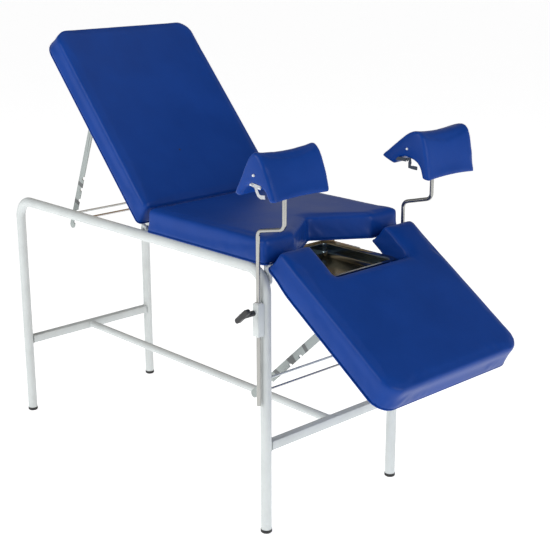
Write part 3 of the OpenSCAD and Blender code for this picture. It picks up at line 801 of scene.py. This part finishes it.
def rest_hook(side):
    """The fittings on a leg rest's near end: a rivet, a cross strap and a bent steel hook for a
    leg strap. On the far rest the strap and hook are drawn near-black as painted shade. Places are (u, w)
    in the rest's own section."""
    place = rest_matrix(side)
    end = -REST_HALF
    rivet, hook, bar = HOOKS[side]
    heads = Parts()
    spots = [(rivet, 3.4)] + [(spot, 3.0) for spot in bar if side == "near"]
    for (u, w), r in spots:
        head = frame_to(place @ Vector((u, end, w)), place.to_3x3() @ Vector((0, -1, 0)))
        heads.lathe(head, [(0.4, -4), (r, -4), (r, 1.0), (r * 0.8, 2.4), (r * 0.4, 3.1),
                           (0.4, 3.2)], 20)
    heads.piece(f"rest_rivets_{side}", RIVET, f"{side}_leg_rest")
    strap = Parts()
    for path, near_y in ((bar, end + 3), (hook, end + 6)):
        path = [Vector(p) for p in path]
        rings = []
        for k, p in enumerate(path):
            way = (path[min(k + 1, len(path) - 1)] - path[max(k - 1, 0)]).normalized()
            out = Vector((-way.y, way.x)) * STRAP_W / 2
            square = ((p - out, near_y), (p + out, near_y),
                      (p + out, near_y + STRAP_T), (p - out, near_y + STRAP_T))
            rings.append([place @ Vector((q.x, y, q.y)) for q, y in square])
        strap.loft(rings)
    # painted shade: the far rest's steel strap and hook are drawn near-black instead of zinc
    strap.piece(f"rest_hook_{side}", ZINC if side == "near" else FAR_HOOK_SHADE, f"{side}_leg_rest")


for side in SIDES:
    rest_pad(side)
    rest_hook(side)


# ---- Tray ----

TRAY_CORNER = 32
TRAY_FLOOR = 36
TRAY_PROUD = 9
TRAY_FILLET = 20
TRAY_SHEET = 1.5


def tray():
    """A pressed basin: flat floor, wide fillet, steep wall, flange and a rolled rim."""
    low, high = (Vector(c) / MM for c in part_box("tray"))
    high.x += TRAY_PROUD
    corners = [(x, y, TRAY_CORNER) for x, y in
               ((low.x, low.y), (high.x, low.y), (high.x, high.y), (low.x, high.y))]
    floor_z = low.z - high.z

    def fillet(radius, steps=6):
        turns = [math.pi / 2 * k / steps for k in range(steps + 1)]
        return [(TRAY_FLOOR - radius * math.sin(t), floor_z + TRAY_FILLET - radius * math.cos(t))
                for t in turns]
    rim = [(15.9, -6), (15.2, -3.2), (12.5, -1.5), (3.2, -1.5), (1.6, -1.6), (0.3, -1.1),
           (0, 0), (0.4, 1.1), (1.7, 1.4), (3.2, 0.6), (5, 0), (12.5, 0), (15.8, -0.9),
           (17.2, -3.2), (17.5, -7)]
    profile = fillet(TRAY_FILLET) + rim + fillet(TRAY_FILLET - TRAY_SHEET)[::-1]
    basin = Parts()
    basin.loft([[(p.x, p.y, high.z + z) for p in outline(corners, inset, 16)]
                for inset, z in profile])
    basin.piece("instrument_tray", TRAY_STEEL_SHADED, "tray", ("tray",), 50)


tray()


# ---- Weld beads ----


def bead(parts, path, radius=1.5, closed=True):
    """A slightly lumpy weld run along path."""
    parts.tube(path, lambda i: radius * (1 + 0.14 * math.sin(i * 2.1)), 8, closed)


def welds():
    beads = Parts()
    for node in ("head_crossbar", "foot_crossbar"):
        at = mid(node)
        low, high = (Vector(c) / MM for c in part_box(node))
        half = (high.z - low.z) / 2
        wide = CROSS_W / 2
        corners = [(-wide, -half, 1), (wide, -half, 1), (wide, half, 1), (-wide, half, 1)]
        for way in (-1, 1):
            # the bead follows the round of the leg's tube
            bead(beads, [(at.x + p.x,
                          way * (RAIL_Y - math.sqrt(TUBE_R ** 2 - min(p.x ** 2, wide ** 2))),
                          at.z + p.y) for p in outline(corners, 0, 3)])
    at = mid("centre_stretcher")
    low, high = (Vector(c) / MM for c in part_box("centre_stretcher"))
    r = (high.z - low.z) / 2
    for x in (FRAME_X - LEG_X + CROSS_W / 2, FRAME_X + LEG_X - CROSS_W / 2):
        bead(beads, [(x, at.y + r * math.cos(t), at.z + r * math.sin(t))
                     for t in (math.tau * k / 28 for k in range(28))])
    for side, way in SIDES.items():
        low, high = (Vector(c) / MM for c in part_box(f"rod_sleeve_{side}"))
        for dx in (-6.5, 6.5):
            y = way * (RAIL_Y + TUBE_R - 1.4)
            count = int((high.z - low.z - 10) / 3)
            bead(beads, [(FRAME_X + LEG_X + dx, y, low.z + 5 + k * 3) for k in range(count)],
                 1.8, False)
    beads.piece("weld_beads", PAINT, "frame", smooth=60)


welds()


# ---- Finishes of the CAD nodes ----

dress(PAINT, "side_frame_near", "side_frame_far", "centre_stretcher", "seat_cross_tube",
      "head_support_rod", "foot_support_rod")
dress(PAINT, "head_crossbar", "foot_crossbar", bevel=2.0)
dress(PAINT, "rod_sleeve_near", "rod_sleeve_far", bevel=1.6)
dress(PAINT, "seat_tabs", bevel=0.5)
dress(STRUT_PAINT_SHADED, "back_struts", "foot_struts", bevel=0.5)
dress(STEEL_Y, "head_stop_rod", "foot_stop_rod")
dress(RUBBER, "rubber_feet")
dress(PAINT, "back_hinge_lugs", "foot_hinge_lugs", bevel=0.5)
dress(ZINC, "back_arms", "foot_arms", "back_strut_brackets",
      "foot_strut_brackets", "rest_bracket_near", "rest_bracket_far", bevel=0.5)
dress(ZINC, "back_hinge_pins", "foot_hinge_pins", "back_strut_pins", "foot_strut_pins", "seat_screws",
      "back_arm_screws", "foot_arm_screws", "clamp_screw_near", "clamp_screw_far", "rest_bolt_near",
      "rest_bolt_far", "rest_screws_near", "rest_screws_far", bevel=0.4)
dress(STEEL_X, "tray_runners", bevel=0.4)
dress(NYLON, "guide_bush_near", "guide_bush_far", bevel=0.4)
dress(PLASTIC, "clamp_knob_near", "clamp_knob_far", bevel=1.5)
dress(ROD_STEEL, "cranked_rod_near", "cranked_rod_far", "rod_eye_near", "rod_eye_far")
dress(PLY_FLAT, "seat_board")
dress(PLY_BACK, "back_board")
dress(PLY_FOOT, "foot_board")


# ---- Studio ----


def area_light(name, place, aim, size, power, tint=(1, 1, 1)):
    light = bpy.data.lights.new(name, "AREA")
    light.shape = "RECTANGLE"
    light.size, light.size_y = size
    light.energy = power
    light.color = tint
    obj = bpy.data.objects.new(name, light)
    scene.collection.objects.link(obj)
    obj.location = place
    obj.rotation_mode = "QUATERNION"
    obj.rotation_quaternion = (Vector(aim) - Vector(place)).to_track_quat("-Z", "Y")


area_light("key", (-0.6, -4.2, 2.6), (0, 0, 0.7), (3.2, 2.4), 88)
area_light("overhead", (0.2, 0.3, 4.0), (0, 0, 0), (3.5, 3.0), 18)
area_light("foot_side", (4.4, 0.6, 2.2), (0, 0, 0.6), (2.4, 2.0), 55)

floor = bpy.data.objects.new("floor", bpy.data.meshes.new("floor"))
reach = 45
floor.data.from_pydata([(-reach, -reach, 0), (reach, -reach, 0), (reach, reach, 0),
                        (-reach, reach, 0)], [], [(0, 1, 2, 3)])
floor.data.materials.append(floor_material())
scene.collection.objects.link(floor)

world = bpy.data.worlds.new("studio")
scene.world = world
world.use_nodes = True
sky = world.node_tree
backdrop = sky.nodes["Background"]
sky_place = sky.nodes.new("ShaderNodeTexCoord")
split = sky.nodes.new("ShaderNodeSeparateXYZ")
fade = sky.nodes.new("ShaderNodeMapRange")
sky.links.new(sky_place.outputs["Generated"], split.inputs[0])
sky.links.new(split.outputs[2], fade.inputs[0])
# the backdrop's strength falls from 0.50 at the horizon to 0.16 high up
for socket, value in zip(fade.inputs[1:5], (0.0, 0.7, 0.50, 0.16)):
    socket.default_value = value
sky.links.new(fade.outputs[0], backdrop.inputs["Strength"])
backdrop.inputs["Color"].default_value = (1, 1, 1, 1)
scene.view_settings.view_transform = "Standard"
